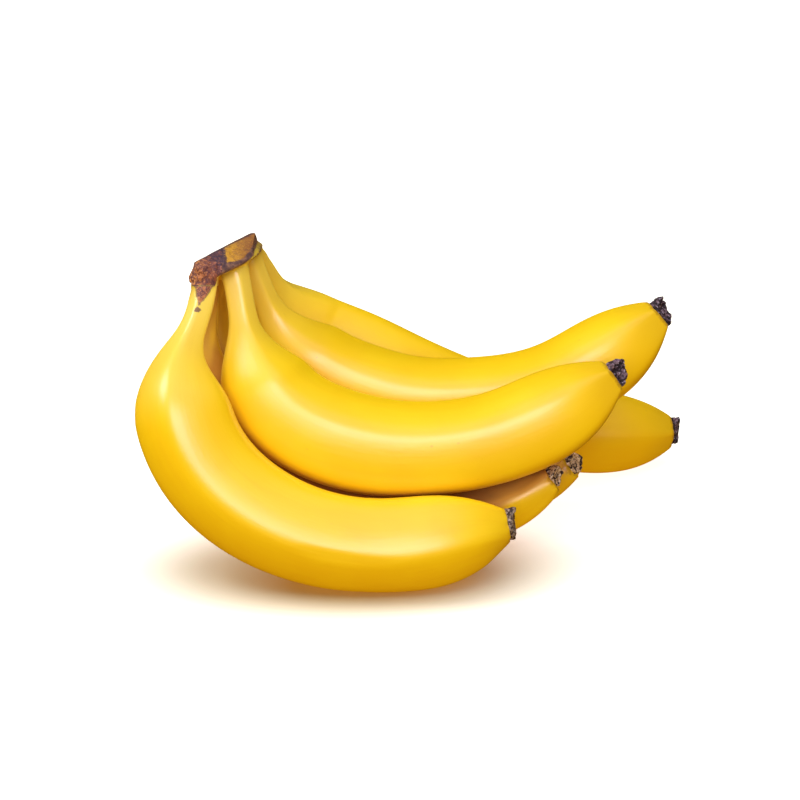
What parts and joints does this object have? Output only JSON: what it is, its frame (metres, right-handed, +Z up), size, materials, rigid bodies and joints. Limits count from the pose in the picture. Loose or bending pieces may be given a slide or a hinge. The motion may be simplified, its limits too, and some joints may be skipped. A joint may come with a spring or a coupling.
{
  "type": "bunch of bananas",
  "caption": "Cluster of ripe yellow bananas joined by one brown crown, lying on a flat surface with dark dried blossom ends.",
  "frame": {"origin": "on the resting surface, under the middle of the bunch's bounding box", "axes": "+X along the fingers from the crown towards the blossom ends, the longest extent; +Y from the front finger to the back finger; +Z up from the resting surface"},
  "size_m": [0.2448, 0.1608, 0.1296],
  "materials": {
    "peel": "smooth waxy ripe peel, satin, yellow with green-tinged necks",
    "crown": "cut and torn fibrous stalk tissue, russet to dark brown, matt",
    "tip": "shrivelled dried blossom end, dark purple-brown, matt"
  },
  "bodies": {
    "root": {"banana_1": "peel", "banana_2": "peel", "banana_3": "peel", "banana_4": "peel", "banana_5": "peel", "banana_6": "peel", "crown": "crown", "tip_1": "tip", "tip_2": "tip", "tip_3": "tip", "tip_4": "tip", "tip_5": "tip", "tip_6": "tip"}
  },
  "joints": []
}
